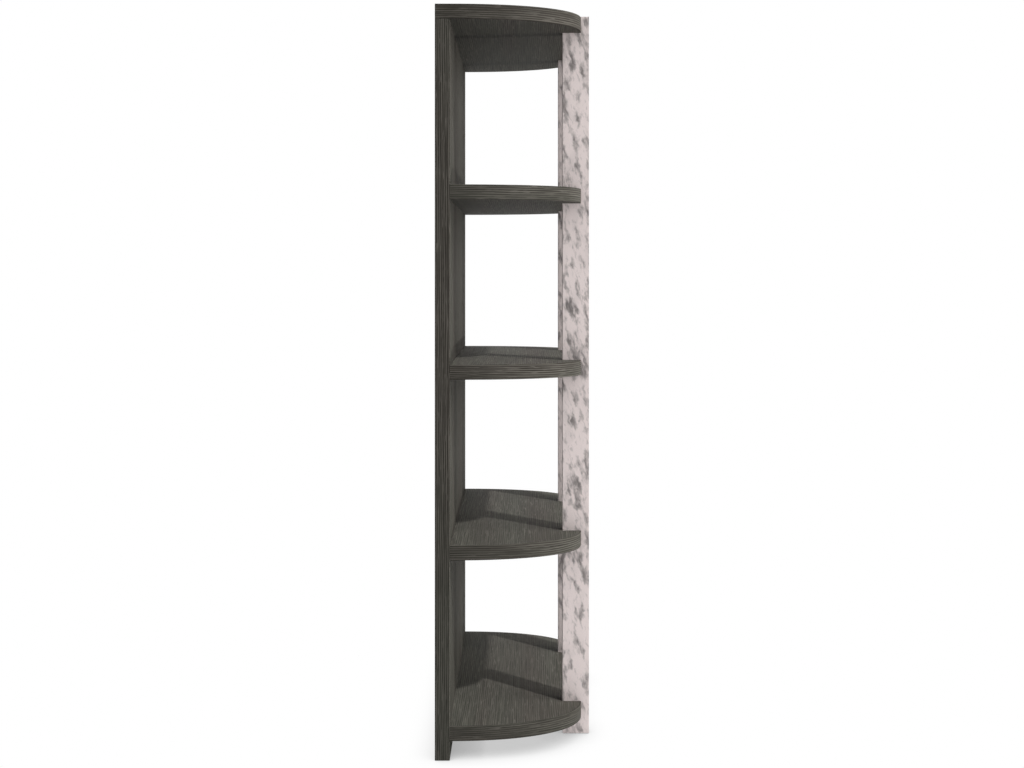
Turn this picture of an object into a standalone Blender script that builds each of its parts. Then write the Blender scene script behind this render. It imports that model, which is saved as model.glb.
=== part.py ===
"""A tall etagere, 2.03 m high and 1.02 m wide.

A full-height back panel carries five thick shelves.  The ends of each shelf bow
from the panel to two flat posts near the front, which are let into slots in the
shelf edges and stand a little proud of them.  The lower four shelves butt
against the panel, and the top board lies over its upper edge.

Metres, +Z up, front towards -Y.  The origin is on the floor, in the middle.
Left and right are as seen from the front.
"""
import math

import bmesh
import bpy

NAME = "etagere"

# Overall sizes
HEIGHT = 2.032              # floor to the tops of the posts
WIDTH = 1.006               # across the shelves and the back panel
SHELF_DEPTH = 0.360         # face of the panel to the front edge of a shelf
SHELF_THICKNESS = 0.040
FLOOR_SPACE = 0.0525        # floor to the underside of the bottom shelf
POST_RISE = 0.006           # tops of the posts above the top board
SHELF_NAMES = ("bottom_shelf", "lower_shelf", "middle_shelf", "upper_shelf", "top_board")

# Back panel and posts
PANEL_THICKNESS = 0.040
POST_THICKNESS = 0.040      # along the shelf
POST_DEPTH = 0.075          # from front to back
POST_PROUD = 0.023          # front of a post before the front edge of a shelf
POST_INSET = 0.225          # end of the shelf to the outer face of a post
POST_ARRIS = 0.001          # rounding of the edges of a post

# Bowed ends and the solid strips glued round the edges
BOW_POWER = 2.17            # exponent of the bow, where 2 would be a plain ellipse
BOW_STEPS = 20
LIPPING = 0.004             # thickness of an edge strip
ARRIS = 0.001               # rounding of the outer edges of a strip
ARRIS_STEPS = 2

# Dowels, each half in one piece and half in the other
DOWEL_DIAMETER = 0.010
DOWEL_LENGTH = 0.040
DOWEL_CHAMFER = 0.0012
DOWEL_INSET = 0.200         # end of the shelf to a dowel at the panel

# Screws through the panel into the back edge of a shelf
SCREW_DIAMETER = 0.007
SCREW_LENGTH = 0.070
SCREW_HEAD_DIAMETER = 0.0125
SCREW_HEAD_RIM = 0.0012
SCREW_HEAD_CONE = 0.0028
SCREW_POINT = 0.005
SCREW_INSET = 0.095         # end of the shelf to a screw

# Nail-on glides, each let into a shallow seat under the panel or a post
GLIDE_DIAMETER = 0.022
GLIDE_HEIGHT = 0.003
GLIDE_PROUD = 0.001         # how far a glide stands out of its seat
GLIDE_ROUND = 0.0008
GLIDE_NAIL_DIAMETER = 0.0024
GLIDE_NAIL_LENGTH = 0.015
GLIDE_NAIL_POINT = 0.004
GLIDE_INSET = 0.060         # end of the panel to a glide

GAP = 0.0003                # between neighbouring pieces, and round dowels and screws
CUT_PAST = 0.010            # how far a cutter runs past the piece it cuts
ROUND_SIDES = 16
SHARP_ANGLE = math.radians(35)
WELD = 0.00001

# Base colour, roughness and metallic value of each finish
FINISHES = {
    "dark_oak": ((0.058, 0.050, 0.041, 1.0), 0.55, 0.0),
    "aged_silver": ((0.56, 0.50, 0.49, 1.0), 0.70, 1.0),
    "beech": ((0.62, 0.42, 0.24, 1.0), 0.60, 0.0),
    "zinc": ((0.55, 0.56, 0.58, 1.0), 0.30, 1.0),
    "black_plastic": ((0.020, 0.020, 0.020, 1.0), 0.45, 0.0),
}

# Places that follow from the sizes
PANEL_BACK = (PANEL_THICKNESS + SHELF_DEPTH + POST_PROUD) / 2
PANEL_FACE = PANEL_BACK - PANEL_THICKNESS
SHELF_FRONT = PANEL_FACE - SHELF_DEPTH
POST_FRONT = SHELF_FRONT - POST_PROUD
POST_BACK = POST_FRONT + POST_DEPTH
POST_OUTER = WIDTH / 2 - POST_INSET
POST_INNER = POST_OUTER - POST_THICKNESS
POST_MIDDLE = (POST_OUTER + POST_INNER) / 2
TOP_UNDERSIDE = HEIGHT - POST_RISE - SHELF_THICKNESS
SHELF_PITCH = (TOP_UNDERSIDE - FLOOR_SPACE) / (len(SHELF_NAMES) - 1)
FOOT = GLIDE_PROUD          # underside of the panel and the posts
SIDES = (("left", -1), ("right", 1))


def clear_scene():
    for item in list(bpy.data.objects):
        bpy.data.objects.remove(item, do_unlink=True)


def new_collection(name):
    collection = bpy.data.collections.new(name)
    bpy.context.scene.collection.children.link(collection)
    return collection


def finish_material(name, finish):
    colour, roughness, metallic = FINISHES[finish]
    material = bpy.data.materials.new(name)
    material.use_nodes = True
    shader = material.node_tree.nodes["Principled BSDF"]
    shader.inputs["Base Color"].default_value = colour
    shader.inputs["Roughness"].default_value = roughness
    shader.inputs["Metallic"].default_value = metallic
    material.diffuse_color = colour
    return material


def place_part(name, mesh, finish, location=(0, 0, 0), rotation=(0, 0, 0)):
    """One piece of the etagere, with its own material, under the etagere's empty."""
    piece = bpy.data.objects.new(name, mesh)
    piece.location = location
    piece.rotation_euler = rotation
    piece.parent = whole
    parts.objects.link(piece)
    if not mesh.materials:
        mesh.materials.append(None)
    piece.material_slots[0].link = "OBJECT"
    piece.material_slots[0].material = finish_material(name + "_" + finish, finish)
    return piece


def place_cutter(name, mesh, location=(0, 0, 0), rotation=(0, 0, 0)):
    cutter = bpy.data.objects.new(name + "_cutter", mesh)
    cutter.location = location
    cutter.rotation_euler = rotation
    cutter.hide_render = True
    cutter.display_type = "WIRE"
    cutters.objects.link(cutter)
    return cutter


def cut(piece, cutter):
    boolean = piece.modifiers.new(cutter.name, "BOOLEAN")
    boolean.operation = "DIFFERENCE"
    boolean.solver = "EXACT"
    boolean.object = cutter


def mesh_of(scratch, helper=None):
    """The evaluated mesh of a scratch object, welded; the scratch objects are removed."""
    bpy.context.scene.collection.objects.link(scratch)
    bpy.context.view_layer.update()
    depsgraph = bpy.context.evaluated_depsgraph_get()
    mesh = bpy.data.meshes.new_from_object(scratch.evaluated_get(depsgraph))
    mesh.name = scratch.name
    solid = bmesh.new()
    solid.from_mesh(mesh)
    bmesh.ops.remove_doubles(solid, verts=solid.verts, dist=WELD)
    bmesh.ops.recalc_face_normals(solid, faces=solid.faces)
    solid.to_mesh(mesh)
    solid.free()
    bpy.data.objects.remove(scratch, do_unlink=True)
    if helper:
        bpy.data.objects.remove(helper, do_unlink=True)
    return mesh


def block_mesh(name, low, high):
    """A box between two corners, with its origin at the etagere's."""
    block = bmesh.new()
    bmesh.ops.create_cube(block, size=1.0)
    for vertex in block.verts:
        for axis in range(3):
            share = vertex.co[axis] + 0.5
            vertex.co[axis] = low[axis] + share * (high[axis] - low[axis])
    mesh = bpy.data.meshes.new(name)
    block.to_mesh(mesh)
    block.free()
    return mesh


def flat_curve(name, points, closed):
    curve = bpy.data.curves.new(name, "CURVE")
    curve.dimensions = "2D"
    spline = curve.splines.new("POLY")
    spline.points.add(len(points) - 1)
    for point, (x, y) in zip(spline.points, points):
        point.co = (x, y, 0.0, 1.0)
    spline.use_cyclic_u = closed
    return curve


def plate_mesh(name, outline, thickness):
    """A filled outline with its thickness half above and half below z = 0."""
    curve = flat_curve(name, outline, closed=True)
    curve.fill_mode = "BOTH"
    curve.extrude = thickness / 2
    return mesh_of(bpy.data.objects.new(name, curve))


def swept_mesh(name, section, path):
    """A closed section drawn along a flat path; its x points to the right of the path."""
    shape = bpy.data.objects.new(name + "_section", flat_curve(name + "_section", section, closed=True))
    bpy.context.scene.collection.objects.link(shape)
    curve = flat_curve(name, path, closed=False)
    curve.bevel_mode = "OBJECT"
    curve.bevel_object = shape
    curve.use_fill_caps = True
    return mesh_of(bpy.data.objects.new(name, curve), helper=shape)


def turned_mesh(name, profile):
    """A profile of (radius, height), from its top down, turned about Z."""
    line = bpy.data.meshes.new(name)
    points = [(radius, 0.0, height) for radius, height in profile]
    edges = [(index, index + 1) for index in range(len(points) - 1)]
    line.from_pydata(points, edges, [])
    scratch = bpy.data.objects.new(name, line)
    screw = scratch.modifiers.new("turn", "SCREW")
    screw.steps = ROUND_SIDES
    screw.render_steps = ROUND_SIDES
    screw.use_merge_vertices = True
    screw.merge_threshold = WELD
    mesh = mesh_of(scratch)
    mesh.shade_smooth()
    mesh.set_sharp_from_angle(angle=SHARP_ANGLE)
    return mesh


def bowed_end(inset, side, back):
    """Points of a shelf's end, from its rear edge at y = back to the outer face of a post.

    |u|^p + |v|^p = 1, with u along the shelf and v from the panel to the front.
    Each point is moved inwards by the inset, square to the bow.  A rear edge
    behind the panel's face adds a straight stretch before the bow.
    """
    points = [(side * (WIDTH / 2 - inset), back)]
    first = 0 if back > PANEL_FACE else 1
    for step in range(first, BOW_STEPS + 1):
        angle = math.pi / 2 * step / BOW_STEPS
        u = max(math.cos(angle), 0.0) ** (2 / BOW_POWER)
        v = math.sin(angle) ** (2 / BOW_POWER)
        slope_x = u ** (BOW_POWER - 1) / POST_INSET
        slope_y = v ** (BOW_POWER - 1) / SHELF_DEPTH
        length = math.hypot(slope_x, slope_y)
        x = POST_OUTER + POST_INSET * u - inset * slope_x / length
        y = PANEL_FACE - SHELF_DEPTH * v + inset * slope_y / length
        points.append((side * x, y))
    return points


def strip_section(width):
    """An edge strip cut across: its glued side at x = LIPPING, its outer edges rounded at x = 0."""
    half = width / 2
    points = [(LIPPING, -half)]
    for corner in (-1, 1):
        for step in range(ARRIS_STEPS + 1):
            angle = math.pi / 2 * step / ARRIS_STEPS
            across = ARRIS * (1 - (math.sin(angle) if corner < 0 else math.cos(angle)))
            along = ARRIS * (1 - (math.cos(angle) if corner < 0 else math.sin(angle)))
            points.append((across, corner * (half - along)))
    points.append((LIPPING, half))
    return points


def make_shelf(name, underside, back):
    """A shelf core and its three edge strips, slotted for the posts.

    The back is the y of its rear edge: the face of the panel, or for the top
    board the back of the panel.
    """
    middle = underside + SHELF_THICKNESS / 2
    right = bowed_end(LIPPING + GAP, 1, back)
    left = bowed_end(LIPPING + GAP, -1, back)
    board = plate_mesh(name, right + left[::-1], SHELF_THICKNESS)
    core = place_part(name, board, "dark_oak", (0, 0, middle))

    for word, side in SIDES:
        slot_low = min(side * (POST_INNER - GAP), side * (POST_OUTER + GAP))
        slot_high = slot_low + POST_THICKNESS + 2 * GAP
        slot = block_mesh(
            f"{name}_slot_{word}",
            (slot_low, POST_FRONT - CUT_PAST, underside - CUT_PAST),
            (slot_high, POST_BACK + GAP, underside + SHELF_THICKNESS + CUT_PAST),
        )
        cut(core, place_cutter(f"{name}_slot_{word}", slot))

        path = bowed_end(0.0, side, back)
        path[-1] = (side * (POST_OUTER + GAP), SHELF_FRONT)
        if side < 0:
            path.reverse()
        strip = swept_mesh(f"{name}_edge_{word}", strip_section(SHELF_THICKNESS), path)
        place_part(f"{name}_edge_{word}", strip, "dark_oak", (0, 0, middle))

    front = [(POST_INNER - GAP, SHELF_FRONT), (-(POST_INNER - GAP), SHELF_FRONT)]
    strip = swept_mesh(f"{name}_edge_front", strip_section(SHELF_THICKNESS), front)
    place_part(f"{name}_edge_front", strip, "dark_oak", (0, 0, middle))
    return core


def make_panel():
    """The back panel with an edge strip down each side."""
    top = TOP_UNDERSIDE - GAP
    half = WIDTH / 2 - LIPPING - GAP
    core = place_part(
        "back_panel",
        block_mesh("back_panel", (-half, PANEL_FACE, FOOT), (half, PANEL_BACK, top)),
        "dark_oak",
    )
    middle = (0, (PANEL_FACE + PANEL_BACK) / 2, (FOOT + top) / 2)
    for word, side in SIDES:
        outline = [(side * (WIDTH / 2 - across), along) for across, along in strip_section(PANEL_THICKNESS)]
        strip = plate_mesh(f"panel_edge_{word}", outline, top - FOOT)
        place_part(f"panel_edge_{word}", strip, "dark_oak", middle)
    return core


def make_post(word, side):
    low_x = min(side * POST_INNER, side * POST_OUTER)
    mesh = block_mesh(
        word + "_post",
        (low_x, POST_FRONT, FOOT),
        (low_x + POST_THICKNESS, POST_BACK, HEIGHT),
    )
    post = place_part(word + "_post", mesh, "aged_silver")
    bevel = post.modifiers.new("arris", "BEVEL")
    bevel.width = POST_ARRIS
    bevel.segments = ARRIS_STEPS
    return post


def dowel_profile():
    """A dowel about its middle, chamfered at both ends."""
    radius = DOWEL_DIAMETER / 2
    half = DOWEL_LENGTH / 2
    return [
        (0.0, half),
        (radius - DOWEL_CHAMFER, half),
        (radius, half - DOWEL_CHAMFER),
        (radius, -half + DOWEL_CHAMFER),
        (radius - DOWEL_CHAMFER, -half),
        (0.0, -half),
    ]


def dowel_hole_profile():
    radius = DOWEL_DIAMETER / 2 + GAP
    half = DOWEL_LENGTH / 2 + GAP
    return [(0.0, half), (radius, half), (radius, -half), (0.0, -half)]


def screw_profile(extra):
    """A flat-headed screw with its head's top at z = 0, or with some extra all round, its hole."""
    head = SCREW_HEAD_DIAMETER / 2 + extra
    shank = SCREW_DIAMETER / 2 + extra
    top = CUT_PAST if extra else 0.0
    rim = -SCREW_HEAD_RIM - extra
    return [
        (0.0, top),
        (head, top),
        (head, rim),
        (shank, rim - SCREW_HEAD_CONE),
        (shank, -SCREW_LENGTH + SCREW_POINT - extra),
        (shank / 2, -SCREW_LENGTH - extra),
        (0.0, -SCREW_LENGTH - extra),
    ]


def glide_profile():
    """A glide standing on z = 0 with its nail upwards."""
    radius = GLIDE_DIAMETER / 2
    nail = GLIDE_NAIL_DIAMETER / 2
    tip = GLIDE_HEIGHT + GLIDE_NAIL_LENGTH
    return [
        (0.0, tip),
        (nail, tip - GLIDE_NAIL_POINT),
        (nail, GLIDE_HEIGHT),
        (radius - GLIDE_ROUND, GLIDE_HEIGHT),
        (radius, GLIDE_HEIGHT - GLIDE_ROUND),
        (radius, GLIDE_ROUND),
        (radius - GLIDE_ROUND, 0.0),
        (0.0, 0.0),
    ]


def glide_hole_profile():
    """The seat of a glide and, above it, the hole of its nail."""
    seat = GLIDE_DIAMETER / 2 + GAP
    nail = GLIDE_NAIL_DIAMETER / 2 + GAP
    roof = GLIDE_HEIGHT + GAP
    tip = roof + GLIDE_NAIL_LENGTH
    return [(0.0, tip), (nail, tip), (nail, roof), (seat, roof), (seat, FOOT - CUT_PAST), (0.0, FOOT - CUT_PAST)]


def fasten(name, kind, place, rotation, *joined):
    """A dowel, screw or glide, and its hole in each piece that it holds."""
    mesh, hole_mesh, finish = FASTENERS[kind]
    place_part(name, mesh, finish, place, rotation)
    hole = place_cutter(name, hole_mesh, place, rotation)
    for piece in joined:
        cut(piece, hole)


clear_scene()
parts = new_collection(NAME)
cutters = new_collection(NAME + "_cutters")
whole = bpy.data.objects.new(NAME, None)
parts.objects.link(whole)

# Mesh, hole and finish of each fastener
FASTENERS = {
    "dowel": (
        turned_mesh("dowel", dowel_profile()),
        turned_mesh("dowel_hole", dowel_hole_profile()),
        "beech",
    ),
    "screw": (
        turned_mesh("panel_screw", screw_profile(0.0)),
        turned_mesh("panel_screw_hole", screw_profile(GAP)),
        "zinc",
    ),
    "glide": (
        turned_mesh("glide", glide_profile()),
        turned_mesh("glide_hole", glide_hole_profile()),
        "black_plastic",
    ),
}

panel = make_panel()
posts = {word: make_post(word, side) for word, side in SIDES}
shelves = {}
for number, shelf_name in enumerate(SHELF_NAMES):
    shelf_back = PANEL_BACK if shelf_name == "top_board" else PANEL_FACE - GAP
    shelves[shelf_name] = make_shelf(shelf_name, FLOOR_SPACE + number * SHELF_PITCH, shelf_back)

# A fastener's Z axis points up, or backwards where it lies along Y
UPRIGHT = (0.0, 0.0, 0.0)
ALONG_Y = (-math.pi / 2, 0.0, 0.0)
for number, shelf_name in enumerate(SHELF_NAMES):
    shelf = shelves[shelf_name]
    shelf_middle = FLOOR_SPACE + number * SHELF_PITCH + SHELF_THICKNESS / 2
    for word, side in SIDES:
        place = (side * POST_MIDDLE, POST_BACK, shelf_middle)
        fasten(f"{shelf_name}_post_dowel_{word}", "dowel", place, ALONG_Y, posts[word], shelf)
        if shelf_name != "top_board":
            place = (side * (WIDTH / 2 - DOWEL_INSET), PANEL_FACE, shelf_middle)
            fasten(f"{shelf_name}_dowel_{word}", "dowel", place, ALONG_Y, panel, shelf)
            place = (side * (WIDTH / 2 - SCREW_INSET), PANEL_BACK - GAP, shelf_middle)
            fasten(f"{shelf_name}_screw_{word}", "screw", place, ALONG_Y, panel, shelf)

PANEL_MIDDLE = (PANEL_FACE + PANEL_BACK) / 2
for word, side in SIDES + (("middle", 0),):
    place = (side * (WIDTH / 2 - DOWEL_INSET), PANEL_MIDDLE, TOP_UNDERSIDE)
    fasten(f"top_board_dowel_{word}", "dowel", place, UPRIGHT, panel, shelves["top_board"])
    place = (side * (WIDTH / 2 - GLIDE_INSET), PANEL_MIDDLE, 0.0)
    fasten(f"panel_glide_{word}", "glide", place, UPRIGHT, panel)
for word, side in SIDES:
    place = (side * POST_MIDDLE, (POST_FRONT + POST_BACK) / 2, 0.0)
    fasten(f"post_glide_{word}", "glide", place, UPRIGHT, posts[word])
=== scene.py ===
"""The looks of a tall etagere in dark brushed oak with two aged silver posts.

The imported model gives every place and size, in metres, with +Z up and the front
towards -Y.  Left and right are as seen from the front.
"""

import math

import bmesh
import bpy
import numpy as np
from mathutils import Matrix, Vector


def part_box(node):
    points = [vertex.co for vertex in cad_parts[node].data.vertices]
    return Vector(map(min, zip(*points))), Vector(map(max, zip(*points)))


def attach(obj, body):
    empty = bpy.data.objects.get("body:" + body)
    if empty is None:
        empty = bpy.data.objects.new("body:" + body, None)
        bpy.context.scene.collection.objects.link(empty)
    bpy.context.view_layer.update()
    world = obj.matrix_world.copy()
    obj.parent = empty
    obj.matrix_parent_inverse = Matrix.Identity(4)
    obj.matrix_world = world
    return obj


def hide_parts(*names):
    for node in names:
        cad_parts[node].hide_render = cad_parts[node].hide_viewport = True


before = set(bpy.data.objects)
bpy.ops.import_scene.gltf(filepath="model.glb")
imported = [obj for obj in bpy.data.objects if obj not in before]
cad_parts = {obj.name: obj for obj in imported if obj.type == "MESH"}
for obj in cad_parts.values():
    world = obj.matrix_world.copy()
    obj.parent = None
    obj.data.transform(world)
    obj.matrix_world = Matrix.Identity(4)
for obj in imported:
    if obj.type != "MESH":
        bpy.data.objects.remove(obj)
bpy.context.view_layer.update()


# Back panel: a board 40 mm thick and as high as the etagere, veneered on both faces
# in rift-cut oak that runs up it, wire-brushed, stained almost black and rubbed with
# a little pale liming paste that stays in the grain.  The shelves are screwed to it.

def add(tree, kind, inputs=(), **settings):
    """A shader node with its settings made, and its inputs set or linked."""
    made = tree.nodes.new("ShaderNode" + kind)
    for name, value in settings.items():
        setattr(made, name, value)
    for name, value in dict(inputs).items():
        if isinstance(value, bpy.types.NodeSocket):
            tree.links.new(value, made.inputs[name])
        else:
            made.inputs[name].default_value = value
    return made


def stretched_noise(tree, place, stretch, detail=2.0):
    """Noise with its own number of cells per metre along each axis."""
    scaled = add(tree, "VectorMath", {0: place, 1: stretch}, operation="MULTIPLY")
    noise = add(tree, "TexNoise", {"Vector": scaled.outputs[0], "Scale": 1.0, "Detail": detail})
    return noise.outputs[0]


def ramp(tree, value, low, high, to_low=0.0, to_high=1.0):
    """An S-shaped step of a value between two levels."""
    step = add(tree, "MapRange", {"Value": value, "From Min": low, "From Max": high,
                                  "To Min": to_low, "To Max": to_high},
               interpolation_type="SMOOTHSTEP")
    return step.outputs[0]


def combined(tree, a, b, operation="ADD"):
    """Two values put together by a Math node, added unless another operation is named."""
    return add(tree, "Math", {0: a, 1: b}, operation=operation).outputs[0]


def blended(tree, factor, a, b, blend_type="MIX"):
    """Two colours mixed by a factor."""
    mixed = add(tree, "Mix", {0: factor, 6: a, 7: b}, data_type="RGBA", blend_type=blend_type)
    return mixed.outputs[2]


def new_group(name, inputs, outputs):
    """An empty shader node group, with the group's own input and output nodes."""
    tree = bpy.data.node_groups.new(name, "ShaderNodeTree")
    for socket, kind, default in inputs:
        made = tree.interface.new_socket(socket, in_out="INPUT", socket_type="NodeSocket" + kind)
        if default is not None:
            made.default_value = default
    for socket, kind in outputs:
        tree.interface.new_socket(socket, in_out="OUTPUT", socket_type="NodeSocket" + kind)
    return tree, tree.nodes.new("NodeGroupInput"), tree.nodes.new("NodeGroupOutput")


# How fine each part of the grain is, in cells a metre along, across and into it.
DRIFT_CELLS = (1.3, 6.0, 6.0)
WAVER_CELLS = (8.0, 40.0, 40.0)
BAND_CELLS = (1.1, 90.0, 90.0)
FIBRE_CELLS = (9.0, 420.0, 420.0)
BEND_CELLS = (4.0, 40.0, 40.0)
BREAK_CELLS = (7.0, 170.0, 170.0)
PORE_CELLS = (45.0, 1500.0, 1500.0)
PATCH_CELLS = (2.6, 16.0, 16.0)
FLECK_CELLS = (20.0, 400.0, 400.0)
TONE_CELLS = (0.8, 10.0, 10.0)
LINES_A_METRE = 175.0

# In metres: how far the grain drifts and wavers aside, how far its lines of paste bend,
# and how deep the brush bites.
DRIFT_ASIDE = 0.016
WAVER_ASIDE = 0.0016
LINE_BEND = 0.0042
BRUSHED_DEPTH = 0.0003

LIMING_PASTE = (0.25, 0.233, 0.205, 1.0)
OPEN_PORE = (0.016, 0.014, 0.012, 1.0)
GREENER_TONE = (0.94, 1.03, 1.0, 1.0)


def brushed_oak_group():
    """Brushed and limed oak, on a place given in metres along, across and into the grain.

    Colour: fibre bands that wander a little, darker open pores, and pale liming paste.
    The paste lies in straight lines, a sine wave across the grain that bends a little
    and is broken here and there, and in short flecks, thicker in some patches than in
    others.
    """
    tree, given, result = new_group(
        "brushed_oak",
        [("Grain", "Vector", None), ("Wood", "Color", None), ("Liming", "Color", LIMING_PASTE),
         ("Limed", "Float", None), ("Flecked", "Float", None)],
        [("Colour", "Color"), ("Roughness", "Float"), ("Relief", "Float")])
    place = given.outputs["Grain"]
    drift = stretched_noise(tree, place, DRIFT_CELLS)
    waver = stretched_noise(tree, place, WAVER_CELLS)
    drift = combined(tree, drift, DRIFT_ASIDE, "MULTIPLY")
    waver = combined(tree, waver, WAVER_ASIDE, "MULTIPLY")
    aside = combined(tree, drift, waver)
    moved = add(tree, "CombineXYZ", {"Y": aside})
    grain = add(tree, "VectorMath", {0: place, 1: moved.outputs[0]}, operation="ADD").outputs[0]

    bands = stretched_noise(tree, grain, BAND_CELLS)
    fibres = stretched_noise(tree, grain, FIBRE_CELLS, 1.0)
    across = add(tree, "SeparateXYZ", {0: grain})
    bend = combined(tree, stretched_noise(tree, grain, BEND_CELLS, 1.0), LINE_BEND, "MULTIPLY")
    line_place = combined(tree, combined(tree, across.outputs[1], across.outputs[2]), bend)
    turns = combined(tree, line_place, 2 * math.pi * LINES_A_METRE, "MULTIPLY")
    wave = combined(tree, turns, 0.0, "SINE")
    broken = ramp(tree, stretched_noise(tree, grain, BREAK_CELLS, 1.0), 0.32, 0.56, 0.30, 1.0)
    lines = combined(tree, ramp(tree, wave, -0.3, 1.0), broken, "MULTIPLY")
    pores = ramp(tree, stretched_noise(tree, grain, PORE_CELLS, 1.0), 0.60, 0.70)
    patches = ramp(tree, stretched_noise(tree, grain, PATCH_CELLS), 0.35, 0.62, 0.55, 1.0)
    flecks = ramp(tree, stretched_noise(tree, grain, FLECK_CELLS, 1.0), 0.60, 0.68)
    flecks = combined(tree, flecks, given.outputs["Flecked"], "MULTIPLY")
    tone = stretched_noise(tree, place, TONE_CELLS)

    light = combined(tree, combined(tree, bands, 0.2, "MULTIPLY"), fibres)
    light = ramp(tree, light, 0.38, 0.82, 0.70, 1.30)
    light = combined(tree, light, ramp(tree, tone, 0.3, 0.7, 0.93, 1.07), "MULTIPLY")
    wood = blended(tree, ramp(tree, tone, 0.35, 0.65), given.outputs["Wood"], GREENER_TONE, "MULTIPLY")
    wood = add(tree, "VectorMath", {0: wood, "Scale": light}, operation="SCALE").outputs[0]
    wood = blended(tree, combined(tree, pores, 0.45, "MULTIPLY"), wood, OPEN_PORE)
    paste = combined(tree, combined(tree, lines, 0.95, "MULTIPLY"), flecks, "MAXIMUM")
    paste = combined(tree, paste, combined(tree, patches, given.outputs["Limed"], "MULTIPLY"), "MULTIPLY")
    tree.links.new(blended(tree, paste, wood, given.outputs["Liming"]), result.inputs["Colour"])
    tree.links.new(ramp(tree, paste, 0.0, 1.0, 0.72, 0.90), result.inputs["Roughness"])
    relief = combined(tree, combined(tree, bands, 0.5, "MULTIPLY"), combined(tree, fibres, 0.3, "MULTIPLY"))
    relief = combined(tree, relief, combined(tree, pores, paste, "MAXIMUM"), "SUBTRACT")
    tree.links.new(relief, result.inputs["Relief"])
    return tree


BRUSHED_OAK = brushed_oak_group()


def new_material(name, specular=0.5, metallic=0.0):
    """A material with a Principled shader, whose plain numbers are set on its own sockets."""
    material = bpy.data.materials.new(name)
    material.use_nodes = True
    tree = material.node_tree
    shader = tree.nodes["Principled BSDF"]
    shader.inputs["Specular IOR Level"].default_value = specular
    shader.inputs["Metallic"].default_value = metallic
    return material, tree, shader


def oak_material(name, place_of, wood, limed, flecked, specular):
    """Brushed oak on the grain place that place_of makes in the material's own tree."""
    material, tree, shader = new_material(name, specular)
    oak = add(tree, "Group", {"Grain": place_of(tree), "Wood": wood, "Limed": limed, "Flecked": flecked},
              node_tree=BRUSHED_OAK)
    bump = add(tree, "Bump", {"Strength": 0.35, "Distance": BRUSHED_DEPTH, "Height": oak.outputs["Relief"]})
    tree.links.new(oak.outputs["Colour"], shader.inputs["Base Color"])
    tree.links.new(oak.outputs["Roughness"], shader.inputs["Roughness"])
    tree.links.new(bump.outputs[0], shader.inputs["Normal"])
    return material


def upright_place(tree):
    """Object coordinates turned so that the grain runs up."""
    place = add(tree, "TexCoord").outputs["Object"]
    turned = add(tree, "Mapping", {"Vector": place, "Rotation": (0.0, math.pi / 2, 0.0)})
    return turned.outputs[0]


PANEL_VENEER = (0.046, 0.0416, 0.0357, 1.0)
OAK_PANEL = oak_material("oak_panel", upright_place, PANEL_VENEER, limed=0.26, flecked=0.85, specular=0.02)
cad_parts["back_panel"].material_slots[0].material = OAK_PANEL


# Edge strips of the panel: solid oak 4 mm thick, glued down each side and flush with
# the veneer, with their outer edges sanded round.  Their grain runs up.

def own_grain(tree):
    """The grain place that a piece carries at its points."""
    return add(tree, "Attribute", attribute_name="grain").outputs["Vector"]


SOLID_OAK = (0.053, 0.0477, 0.0406, 1.0)
OAK_STRIP = oak_material("oak_strip", own_grain, SOLID_OAK, limed=0.50, flecked=0.85, specular=0.085)
STRIP_ARRIS = 0.001
ARRIS_STEPS = 5
FLAT_EDGE = 0.0002
FLAT_POINTS = 7
PANEL_STRIP_ROWS = 80
PANEL_STRIP_GRAIN = (3.1, 0.7)
SHARP_ANGLE = math.radians(30)
WELD = 0.000001


def finished_piece(name, points, faces, material, replaced, grain=None):
    """A mesh piece from its points and faces, which stands for a CAD node.

    Doubled points are merged, and the faces turned outwards.
    """
    mesh = bpy.data.meshes.new(name)
    mesh.from_pydata(points.reshape(-1, 3), [], faces)
    if grain is not None:
        mesh.attributes.new("grain", "FLOAT_VECTOR", "POINT").data.foreach_set("vector", grain.ravel())
    solid = bmesh.new()
    solid.from_mesh(mesh)
    bmesh.ops.remove_doubles(solid, verts=solid.verts, dist=WELD)
    bmesh.ops.recalc_face_normals(solid, faces=solid.faces)
    solid.to_mesh(mesh)
    solid.free()
    mesh.shade_smooth()
    mesh.set_sharp_from_angle(angle=SHARP_ANGLE)
    mesh.materials.append(material)
    piece = bpy.data.objects.new(name, mesh)
    bpy.context.scene.collection.objects.link(piece)
    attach(piece, "root")
    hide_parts(replaced)
    return piece


def tube_faces(rows, columns):
    """Faces of a closed section carried along a path, one row a section, capped at both ends."""
    index = np.arange(rows * columns).reshape(rows, columns)
    beside = np.roll(index, -1, axis=1)
    quads = np.stack([index[:-1], index[1:], beside[1:], beside[:-1]], axis=-1).reshape(-1, 4)
    return quads.tolist() + [index[0].tolist(), index[-1].tolist()]


def strip_section(thickness, height):
    """A strip cut across: depths from its outer face, and heights from its middle.

    Quarter circles round both outer edges.  A second point close to each end of a
    flat keeps the flat flat in shading.
    """
    turn = np.linspace(0.0, math.pi / 2, ARRIS_STEPS + 1)
    half = height / 2
    past = STRIP_ARRIS + FLAT_EDGE
    flat = np.linspace(-half + past, half - past, FLAT_POINTS)
    depth = np.concatenate([[thickness, past], STRIP_ARRIS * (1 - np.sin(turn)), 0 * flat,
                            STRIP_ARRIS * (1 - np.cos(turn)), [past, thickness]])
    level = np.concatenate([[-half, -half], STRIP_ARRIS * (1 - np.cos(turn)) - half, flat,
                            half - STRIP_ARRIS * (1 - np.sin(turn)), [half, half]])
    return depth, level


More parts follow.
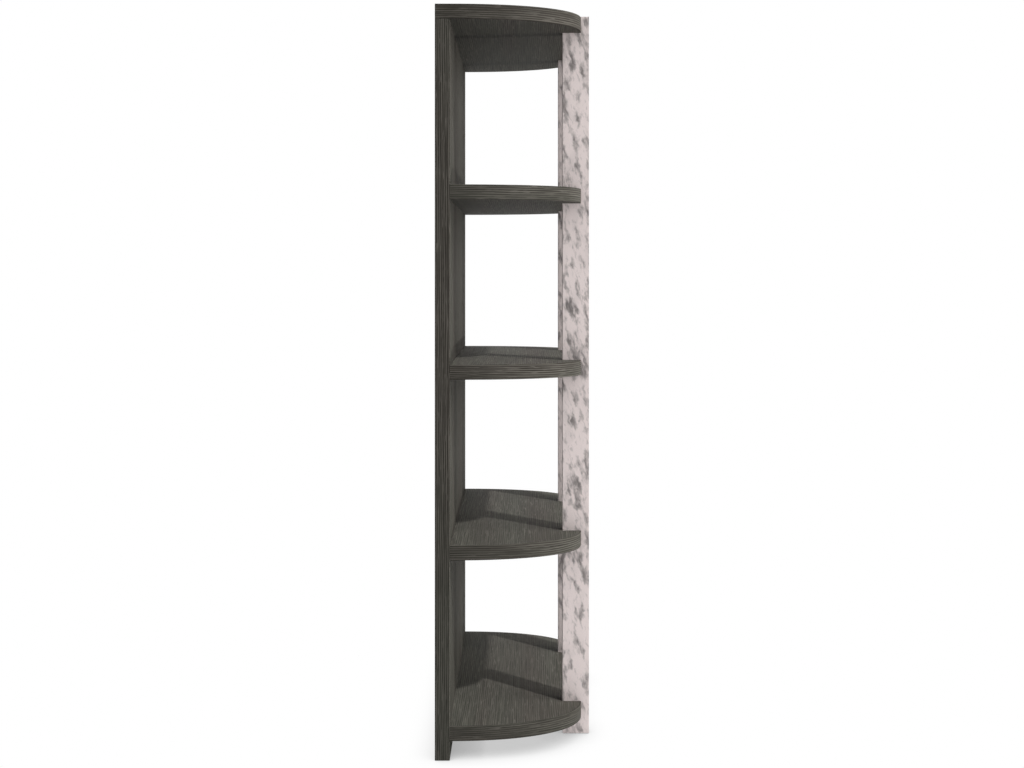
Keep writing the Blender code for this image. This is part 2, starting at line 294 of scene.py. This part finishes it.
def carried_strip(name, path, outward, upright, thickness, height, grain_start, replaced):
    """An edge strip: its section carried along the middle line of its outer face.

    A point is the line's point, moved back from the outer face by the section's depth
    and along the upright by its height.  Its grain place is the way along the line,
    the height and the depth.
    """
    depth, level = strip_section(thickness, height)
    steps = np.linalg.norm(np.diff(path, axis=0), axis=1)
    along = np.concatenate([[0.0], np.cumsum(steps)])[:, None] + 0 * level
    points = (path[:, None, :] - outward[:, None, :] * depth[:, None]
              + np.array(upright) * level[:, None])
    grain = np.dstack([along, level + 0 * along, depth + 0 * along]) + np.array(grain_start)
    faces = tube_faces(*along.shape)
    return finished_piece(name, points, faces, OAK_STRIP, replaced, grain)


for word, side in (("left", -1), ("right", 1)):
    low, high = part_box("panel_edge_" + word)
    rise = np.linspace(low.z, high.z, PANEL_STRIP_ROWS)
    middle = np.full(len(rise), (low.y + high.y) / 2)
    outer = np.full(len(rise), low.x if side < 0 else high.x)
    carried_strip("panel_side_strip_" + word, np.column_stack([outer, middle, rise]),
                  np.tile((side, 0.0, 0.0), (len(rise), 1)), (0.0, 1.0, 0.0),
                  high.x - low.x, high.y - low.y, (*PANEL_STRIP_GRAIN, side), "panel_edge_" + word)


# Shelves: four boards butted against the panel and a top board over it, 40 mm thick and
# veneered with the grain along them.  Each end bows from the full width at the panel to
# a post, and each board has a slot cut in from the front for each post.

BOW_POWER = 2.17
BOW_STEPS = 140
LIPPING = 0.004
GLUE_LINE = 0.00002
SLOT_PLAY = 0.0003
STRAIGHT_RUN_STEPS = 8
SHELF_NAMES = ("bottom_shelf", "lower_shelf", "middle_shelf", "upper_shelf", "top_board")
PANEL_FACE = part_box("back_panel")[0].y
POST_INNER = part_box("right_post")[0].x
POST_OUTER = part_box("right_post")[1].x
POST_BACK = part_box("right_post")[1].y


def bowed_end(half_width, front, back, inset):
    """The right end of a shelf from above, and its outward directions.

    |u|^p + |v|^p = 1, with u from the post to the end and v from the panel to the
    front, moved inwards by the inset, square to the bow.  A board that lies over the
    panel has a straight run before it.
    """
    turn = np.linspace(0.0, math.pi / 2, BOW_STEPS + 1)
    u = np.abs(np.cos(turn)) ** (2 / BOW_POWER)
    v = np.sin(turn) ** (2 / BOW_POWER)
    reach = half_width - POST_OUTER
    depth = PANEL_FACE - front
    slope = np.column_stack([u ** (BOW_POWER - 1) / reach, -v ** (BOW_POWER - 1) / depth])
    slope /= np.linalg.norm(slope, axis=1)[:, None]
    line = np.column_stack([POST_OUTER + reach * u, PANEL_FACE - depth * v])
    run = np.linspace(back, PANEL_FACE, STRAIGHT_RUN_STEPS + 1)[:-1]
    run = run[run > PANEL_FACE]
    run = np.column_stack([np.full(len(run), half_width), run])
    line = np.concatenate([run, line])
    slope = np.concatenate([np.tile((1.0, 0.0), (len(run), 1)), slope])
    line = line - slope * inset
    line[0, 1] = back
    line[:, 0] = np.maximum(line[:, 0], POST_OUTER + SLOT_PLAY)
    return line, slope


BOARD_GRAIN_LENGTH = 0.6
BOARD_GRAIN_STEP = np.array([1.37, 0.61, 0.0])
BOARD_VENEER = (0.076, 0.0684, 0.0584, 1.0)
OAK_BOARD = oak_material("oak_board", own_grain, BOARD_VENEER, limed=0.32, flecked=1.7, specular=0.140)

for number, name in enumerate(SHELF_NAMES):
    low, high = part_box(name)
    half_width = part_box(name + "_edge_right")[1].x
    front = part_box(name + "_edge_right")[0].y
    core_front = front + LIPPING + GLUE_LINE
    line, slope = bowed_end(half_width, front, high.y, LIPPING + GLUE_LINE)
    line[-1] = (POST_OUTER + SLOT_PLAY, core_front)
    slot_cut = np.array([(POST_OUTER + SLOT_PLAY, POST_BACK + SLOT_PLAY),
                         (POST_INNER - SLOT_PLAY, POST_BACK + SLOT_PLAY),
                         (POST_INNER - SLOT_PLAY, core_front)])
    right = np.concatenate([line, slot_cut])
    outline = np.concatenate([right, right[::-1] * (-1.0, 1.0)])
    rows = np.array([low.z, high.z])
    points = np.dstack([np.tile(outline, (2, 1, 1)), np.repeat(rows, len(outline)).reshape(2, -1)])
    grain = points * (BOARD_GRAIN_LENGTH, 1.0, 1.0) + BOARD_GRAIN_STEP * number
    finished_piece(name + "_veneered", points, tube_faces(2, len(outline)), OAK_BOARD,
                   name, grain)


# Edge strips of the shelves: solid oak 4 mm thick, steamed and bent round each end, and
# straight between the posts, glued to the board's edge.  The grain follows the bend.

BENT_STRIP_GRAIN_STEP = 2.3
FRONT_STRIP_GRAIN_STEP = 1.9
FRONT_STRIP_GRAIN = 5.0
FRONT_STRIP_ROWS = 40

for number, name in enumerate(SHELF_NAMES):
    low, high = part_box(name)
    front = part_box(name + "_edge_right")[0].y
    half_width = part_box(name + "_edge_right")[1].x
    middle = (low.z + high.z) / 2
    line, slope = bowed_end(half_width, front, high.y, 0.0)
    for word, side in (("left", -1), ("right", 1)):
        path = np.column_stack([line * (side, 1.0), np.full(len(line), middle)])
        outward = np.column_stack([slope * (side, 1.0), np.zeros(len(line))])
        carried_strip(f"{name}_bent_strip_{word}", path, outward, (0.0, 0.0, 1.0), LIPPING,
                      high.z - low.z, (number * BENT_STRIP_GRAIN_STEP, side, 0.0), f"{name}_edge_{word}")
    across = np.linspace(POST_INNER - SLOT_PLAY, SLOT_PLAY - POST_INNER, FRONT_STRIP_ROWS)
    path = np.column_stack([across, np.full(len(across), front), np.full(len(across), middle)])
    carried_strip(name + "_front_strip", path, np.tile((0.0, -1.0, 0.0), (len(path), 1)),
                  (0.0, 0.0, 1.0), LIPPING, high.z - low.z,
                  (number * FRONT_STRIP_GRAIN_STEP, FRONT_STRIP_GRAIN, 0.0), name + "_edge_front")


# Posts: two flat wooden bars, let into the slots and standing a little proud of the
# shelves' edges.  They are covered in silver leaf over a hand-smoothed ground, rubbed
# and aged until dark patches of patina run down it.

POST_CORNER = 0.0010
POST_TOP_ROUND = 0.0008
POST_TOP_STEPS = 4
POST_CORNER_STEPS = 5
POST_FACE_STEP = 0.006
POST_FLAT_EDGE = 0.03
POST_END = 0.003
POST_ROWS = 260
WAVE_DEPTH = 0.00022
WAVES = 24
WAVE_SEED = 11
SHORTEST_WAVE = 0.035
LONGEST_WAVE = 0.140
SILVER_LEAF = (0.88, 0.818, 0.806, 1.0)
PATINA = (0.20, 0.183, 0.178, 1.0)
PATINA_SLANT = (math.radians(11), math.radians(8), 0.0)
LEAF_DENTS = 0.0004

# How fine the patina is, in cells a metre.  Its edges are feathered by a finer push.
FEATHER_CELLS = 60.0
FEATHER_PUSH = 0.012
BROAD_PATINA_CELLS = (40.0, 50.0, 17.0)
SMALL_PATINA_CELLS = (104.0, 130.0, 46.0)
VEIL_CELLS = (24.0, 24.0, 12.0)
SPECKLE_CELLS = (900.0, 900.0, 900.0)


def post_section(low, high):
    """A rectangle with rounded corners from above: its points in turn, and their outward directions."""
    turn = np.linspace(0.0, math.pi / 2, POST_CORNER_STEPS + 1)
    middle = np.array([(low.x + high.x) / 2, (low.y + high.y) / 2])
    half = np.array([(high.x - low.x) / 2, (high.y - low.y) / 2])
    corners, ways = [], []
    for quarter, sides in enumerate(((1, 1), (-1, 1), (-1, -1), (1, -1))):
        angle = turn + quarter * math.pi / 2
        way = np.column_stack([np.cos(angle), np.sin(angle)])
        corners.append(middle + np.array(sides) * (half - POST_CORNER) + way * POST_CORNER)
        ways.append(way)
    points, outward = [], []
    for quarter in range(4):
        after = corners[(quarter + 1) % 4][0]
        start = corners[quarter][-1]
        steps = max(4, round(np.linalg.norm(after - start) / POST_FACE_STEP))
        share = np.linspace(0, 1, steps + 1)[1:-1]
        share = np.concatenate([[POST_FLAT_EDGE], share, [1 - POST_FLAT_EDGE]])[:, None]
        points += [corners[quarter], start + share * (after - start)]
        outward += [ways[quarter], np.tile(ways[quarter][-1], (len(share), 1))]
    return np.concatenate(points), np.concatenate(outward)


def silver_group():
    """Aged silver leaf on object coordinates: pale leaf, and patina in slanted, feathered patches."""
    tree, given, result = new_group(
        "aged_silver_leaf",
        [("Place", "Vector", None), ("Leaf", "Color", SILVER_LEAF), ("Patina", "Color", PATINA)],
        [("Colour", "Color"), ("Roughness", "Float"), ("Relief", "Float")])
    place = given.outputs["Place"]
    slanted = add(tree, "Mapping", {"Vector": place, "Rotation": PATINA_SLANT}).outputs[0]
    push = add(tree, "TexNoise", {"Vector": place, "Scale": FEATHER_CELLS, "Detail": 2.0})
    push = add(tree, "VectorMath", {0: push.outputs["Color"], 1: (0.5, 0.5, 0.5)}, operation="SUBTRACT")
    push = add(tree, "VectorMath", {0: push.outputs[0], "Scale": FEATHER_PUSH}, operation="SCALE")
    slanted = add(tree, "VectorMath", {0: slanted, 1: push.outputs[0]}, operation="ADD").outputs[0]
    broad = stretched_noise(tree, slanted, BROAD_PATINA_CELLS, 3.0)
    small = stretched_noise(tree, slanted, SMALL_PATINA_CELLS, 3.0)
    veil = stretched_noise(tree, slanted, VEIL_CELLS)
    speckle = stretched_noise(tree, place, SPECKLE_CELLS, 1.0)
    core = combined(tree, broad, combined(tree, small, 0.30, "MULTIPLY"))
    core = ramp(tree, core, 0.60, 0.90, 0.0, 0.72)
    haze = ramp(tree, small, 0.54, 0.76, 0.0, 0.24)
    worn = combined(tree, combined(tree, core, haze, "MAXIMUM"), ramp(tree, veil, 0.5, 0.75, 0.0, 0.10))
    sparkle = ramp(tree, speckle, 0.2, 0.8, 0.95, 1.05)
    leaf = add(tree, "VectorMath", {0: given.outputs["Leaf"], "Scale": sparkle}, operation="SCALE")
    leaf = leaf.outputs[0]
    tree.links.new(blended(tree, worn, leaf, given.outputs["Patina"]), result.inputs["Colour"])
    tree.links.new(ramp(tree, worn, 0.0, 1.0, 0.83, 0.88), result.inputs["Roughness"])
    relief = combined(tree, combined(tree, speckle, 0.2, "MULTIPLY"), worn, "SUBTRACT")
    tree.links.new(relief, result.inputs["Relief"])
    return tree


SILVER, silver_tree, silver_shader = new_material("silver_leaf", metallic=1.0)
leaf = add(silver_tree, "Group", node_tree=silver_group())
silver_tree.links.new(add(silver_tree, "TexCoord").outputs["Object"], leaf.inputs["Place"])
dent = add(silver_tree, "Bump", {"Strength": 0.25, "Distance": LEAF_DENTS, "Height": leaf.outputs["Relief"]})
silver_tree.links.new(leaf.outputs["Colour"], silver_shader.inputs["Base Color"])
silver_tree.links.new(leaf.outputs["Roughness"], silver_shader.inputs["Roughness"])
silver_tree.links.new(dent.outputs[0], silver_shader.inputs["Normal"])

# The hand-smoothed ground: waves of mixed lengths and directions, added up.
wave_source = np.random.default_rng(WAVE_SEED)
wave_ways = wave_source.normal(size=(WAVES, 3))
wave_lengths = wave_source.uniform(SHORTEST_WAVE, LONGEST_WAVE, WAVES)
wave_ways *= (2 * math.pi / wave_lengths / np.linalg.norm(wave_ways, axis=1))[:, None]
wave_starts = wave_source.uniform(0, 2 * math.pi, WAVES)

for word in ("left", "right"):
    low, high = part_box(word + "_post")
    section, outward = post_section(low, high)
    turn = np.linspace(0.0, math.pi / 2, POST_TOP_STEPS + 1)
    inset = POST_TOP_ROUND * (1 - np.sin(turn))
    drop = POST_TOP_ROUND * (1 - np.cos(turn))
    body = np.linspace(low.z + POST_END, high.z - POST_END, POST_ROWS)
    heights = np.concatenate([low.z + drop, body, high.z - drop[::-1]])
    insets = np.concatenate([inset, 0 * body, inset[::-1]])
    flat = section[None, :, :] - insets[:, None, None] * outward[None, :, :]
    points = np.dstack([flat, heights[:, None] + 0 * flat[:, :, 0]])
    wave = np.sin(points @ wave_ways.T + wave_starts).sum(axis=2) / math.sqrt(WAVES)
    sunk = WAVE_DEPTH * (1 - np.tanh(wave)) / 2
    points[:, :, :2] -= outward[None, :, :] * sunk[:, :, None]
    finished_piece(word + "_silvered_post", points, tube_faces(len(heights), len(section)), SILVER,
                   word + "_post")


# Dowels: fluted beech pegs glued between shelf and panel, shelf and post, and panel and
# top board.  The joints hide them.

BEECH_DARK = (0.55, 0.36, 0.20, 1.0)
BEECH_LIGHT = (0.66, 0.46, 0.28, 1.0)
RAY_CELLS = (700.0, 90.0, 700.0)
BEECH, beech_tree, beech_shader = new_material("beech")
peg_place = add(beech_tree, "TexCoord").outputs["Object"]
rays = stretched_noise(beech_tree, peg_place, RAY_CELLS)
peg_colour = blended(beech_tree, ramp(beech_tree, rays, 0.35, 0.65), BEECH_DARK, BEECH_LIGHT)
beech_tree.links.new(peg_colour, beech_shader.inputs["Base Color"])
beech_tree.links.new(ramp(beech_tree, rays, 0.3, 0.7, 0.55, 0.75), beech_shader.inputs["Roughness"])
for name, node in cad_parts.items():
    if "_dowel" in name:
        node.material_slots[0].material = BEECH


# Screws: zinc-plated and flat-headed, with a cross recess, driven through the back of
# the panel into the four lower shelves.

SCREW_NAMES = [f"{name}_screw_{word}" for name in SHELF_NAMES[:-1] for word in ("left", "right")]
SCREW_SIDES = 48
HEAD_ROWS = 28
SHANK_ROWS = 219
SHANK_RADIUS = 0.0035
HEAD_RIM = 0.0012
HEAD_SLOPE = 1.05
POINT_LENGTH = 0.007
POINT_SHARE = 0.12
SCREW_PITCH = 0.0032
THREAD_DEPTH = 0.0009
RECESS_DEPTH = 0.0020
RECESS_WIDTH = 0.0011
RECESS_REACH = 0.0034
RECESS_LIP = 1.15
RECESS_WALL = 0.3
ZINC_DARK = (0.50, 0.51, 0.53, 1.0)
ZINC_LIGHT = (0.62, 0.63, 0.64, 1.0)
SPANGLE_CELLS = (900.0, 900.0, 900.0)


def screw_surface(head, shank, length):
    """A screw along Y with its head's top at y = 0, as a grid of stations and angles.

    Stations run over the head's top from the middle out, down the cone, and along the
    shank, whose radius follows a triangle wave of the height less the angle, which
    makes the thread.  On the top, the depth is a cross of two bars with sloped walls.
    """
    angle = np.linspace(0.0, 2 * math.pi, SCREW_SIDES, endpoint=False)
    top_radius = np.linspace(0.0, head, HEAD_ROWS)
    x = top_radius[:, None] * np.cos(angle)
    z = top_radius[:, None] * np.sin(angle)
    bar = np.minimum(np.maximum(np.abs(x) / RECESS_WIDTH, np.abs(z) / RECESS_REACH),
                     np.maximum(np.abs(z) / RECESS_WIDTH, np.abs(x) / RECESS_REACH))
    recess = RECESS_DEPTH * np.clip((RECESS_LIP - bar) / RECESS_WALL, 0.0, 1.0)
    down = np.linspace(0.0, length, SHANK_ROWS + 1)[1:]
    cone = np.clip(head - np.maximum(down - HEAD_RIM, 0.0) * HEAD_SLOPE, shank, head)
    point = np.clip((length - down) / POINT_LENGTH, POINT_SHARE, 1.0)
    phase = (down[:, None] / SCREW_PITCH + angle / (2 * math.pi)) % 1.0
    groove = THREAD_DEPTH * (1 - np.abs(phase * 2 - 1)) * (cone <= shank)[:, None]
    radius = (cone[:, None] - groove) * point[:, None]
    x = np.concatenate([x, radius * np.cos(angle)])
    z = np.concatenate([z, radius * np.sin(angle)])
    y = np.concatenate([-recess, -down[:, None] + 0 * angle])
    return np.dstack([x, y, z])


ZINC, zinc_tree, zinc_shader = new_material("zinc_plate", metallic=1.0)
plate_place = add(zinc_tree, "TexCoord").outputs["Object"]
spangle = stretched_noise(zinc_tree, plate_place, SPANGLE_CELLS, 3.0)
plate_colour = blended(zinc_tree, ramp(zinc_tree, spangle, 0.3, 0.7), ZINC_DARK, ZINC_LIGHT)
zinc_tree.links.new(plate_colour, zinc_shader.inputs["Base Color"])
zinc_tree.links.new(ramp(zinc_tree, spangle, 0.3, 0.7, 0.24, 0.40), zinc_shader.inputs["Roughness"])

for name in SCREW_NAMES:
    low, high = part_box(name)
    centre = np.array([(low.x + high.x) / 2, high.y, (low.z + high.z) / 2])
    surface = screw_surface((high.x - low.x) / 2, SHANK_RADIUS, high.y - low.y)
    finished_piece(name + "_threaded", surface + centre, tube_faces(*surface.shape[:2]), ZINC, name)


# Glides: black plastic discs on nails, let into shallow seats under the panel and the
# posts, which carry the etagere a millimetre clear of the floor.

GLIDE_BLACK = (0.018, 0.018, 0.019, 1.0)
GLIDE_SCUFFED = (0.06, 0.058, 0.055, 1.0)
MOULDED_CELLS = (1200.0, 1200.0, 1200.0)
SCUFF_CELLS = (160.0, 160.0, 160.0)
PLASTIC, plastic_tree, plastic_shader = new_material("glide_plastic")
glide_place = add(plastic_tree, "TexCoord").outputs["Object"]
moulded = stretched_noise(plastic_tree, glide_place, MOULDED_CELLS)
scuffs = stretched_noise(plastic_tree, glide_place, SCUFF_CELLS, 4.0)
glide_colour = blended(plastic_tree, ramp(plastic_tree, scuffs, 0.5, 0.75), GLIDE_BLACK, GLIDE_SCUFFED)
plastic_tree.links.new(glide_colour, plastic_shader.inputs["Base Color"])
plastic_tree.links.new(ramp(plastic_tree, moulded, 0.3, 0.7, 0.38, 0.58), plastic_shader.inputs["Roughness"])
for name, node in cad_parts.items():
    if "glide" in name:
        node.material_slots[0].material = PLASTIC


# Light: a key lamp from the left and the front, a large softbox beside it, a low lamp in
# front, closed down to the etagere, that reaches under the boards, and a faint fill.  The
# world shows white behind the etagere and in gloss, and lights it less than that.

world = bpy.data.worlds.new("studio")
bpy.context.scene.world = world
world.use_nodes = True
world.node_tree.nodes.clear()
sky = world.node_tree


def seen_directly(tree):
    """1 where a ray comes from the camera, a gloss or a glass, and 0 elsewhere."""
    path = add(tree, "LightPath")
    seen = combined(tree, path.outputs["Is Camera Ray"], path.outputs["Is Glossy Ray"], "MAXIMUM")
    return combined(tree, seen, path.outputs["Is Transmission Ray"], "MAXIMUM")


WHITE = (1.0, 1.0, 1.0, 1.0)
FILL_STRENGTH = 0.12
shown = add(sky, "Background", {"Color": WHITE, "Strength": 1.0})
fill = add(sky, "Background", {"Color": WHITE, "Strength": FILL_STRENGTH})
chosen = add(sky, "MixShader", {0: seen_directly(sky), 1: fill.outputs[0], 2: shown.outputs[0]})
add(sky, "OutputWorld", {"Surface": chosen.outputs[0]})

SUN_WAY = Vector((1.0, 1.0, -1.62))
sun_data = bpy.data.lights.new("key", "SUN")
sun_data.energy = 2.02
sun_data.angle = math.radians(2.0)
sun = bpy.data.objects.new("key", sun_data)
sun.visible_glossy = False
sun.rotation_euler = SUN_WAY.to_track_quat("-Z", "Y").to_euler()
bpy.context.scene.collection.objects.link(sun)

softbox_data = bpy.data.lights.new("softbox", "AREA")
softbox_data.shape = "RECTANGLE"
softbox_data.energy = 118.0
softbox_data.size = 3.0
softbox_data.size_y = 2.0
softbox = bpy.data.objects.new("softbox", softbox_data)
softbox.location = (-1.5, -4.0, 2.6)
softbox_way = Vector((0.0, 0.0, 0.8)) - softbox.location
softbox.rotation_euler = softbox_way.to_track_quat("-Z", "Y").to_euler()

low_lamp_data = bpy.data.lights.new("low_front", "SPOT")
low_lamp_data.energy = 1400.0
low_lamp_data.shadow_soft_size = 0.1
low_lamp_data.spot_size = math.radians(24.0)
low_lamp_data.spot_blend = 1.0
low_lamp = bpy.data.objects.new("low_front", low_lamp_data)
low_lamp.location = (-1.45, -8.2, 0.15)
low_lamp_way = Vector((0.0, 0.0, 1.2)) - low_lamp.location
low_lamp.rotation_euler = low_lamp_way.to_track_quat("-Z", "Y").to_euler()

for lamp in (softbox, low_lamp):
    lamp.visible_glossy = False
    bpy.context.scene.collection.objects.link(lamp)


# Floor: plain and pale, as wide as the studio.  To the camera it glows white, with a painted
# shade from ambient occlusion where the etagere stands close over it.

FLOOR_HALF = 30.0
FLOOR_GREY = (0.32, 0.32, 0.32, 1.0)
PAINTED_SHADE_REACH = 0.10
PAINTED_SHADE_DEPTH = 0.8
PAINTED_SHADE_POWER = 2.0
floor_mesh = bpy.data.meshes.new("floor")
floor_mesh.from_pydata([(-FLOOR_HALF, -FLOOR_HALF, 0), (FLOOR_HALF, -FLOOR_HALF, 0),
                        (FLOOR_HALF, FLOOR_HALF, 0), (-FLOOR_HALF, FLOOR_HALF, 0)], [], [(0, 1, 2, 3)])
floor_material = bpy.data.materials.new("floor")
floor_material.use_nodes = True
ground = floor_material.node_tree
ground.nodes.clear()
# Painted shade: the floor's white glow is darkened by ambient occlusion under and beside the etagere, in
# place of a cast shadow.
near = add(ground, "AmbientOcclusion", {"Distance": PAINTED_SHADE_REACH}, samples=16)
covered = combined(ground, 1.0, near.outputs["AO"], "SUBTRACT")
shade = combined(ground, combined(ground, covered, PAINTED_SHADE_POWER, "POWER"), PAINTED_SHADE_DEPTH, "MULTIPLY")
unshaded = combined(ground, 1.0, shade, "SUBTRACT")
bright = add(ground, "Emission", {"Color": WHITE, "Strength": unshaded})
pale = add(ground, "BsdfDiffuse", {"Color": FLOOR_GREY})
chosen = add(ground, "MixShader", {0: seen_directly(ground), 1: pale.outputs[0], 2: bright.outputs[0]})
add(ground, "OutputMaterial", {"Surface": chosen.outputs[0]})
floor_mesh.materials.append(floor_material)
floor = bpy.data.objects.new("floor", floor_mesh)
bpy.context.scene.collection.objects.link(floor)


# Camera: it looks squarely along the etagere's length from the left end, at chest
# height, and is shifted down and not tilted, so that uprights stay upright.

camera_data = bpy.data.cameras.new("camera")
camera_data.lens = 49.7
camera_data.sensor_width = 36.0
camera_data.shift_x = -0.0116
camera_data.shift_y = -0.1073
camera = bpy.data.objects.new("camera", camera_data)
camera.location = (-4.2848, -0.0269, 1.3022)
camera.rotation_euler = (math.pi / 2, 0.0, -math.pi / 2)
bpy.context.scene.collection.objects.link(camera)
bpy.context.scene.camera = camera
bpy.context.scene.view_settings.view_transform = "Standard"
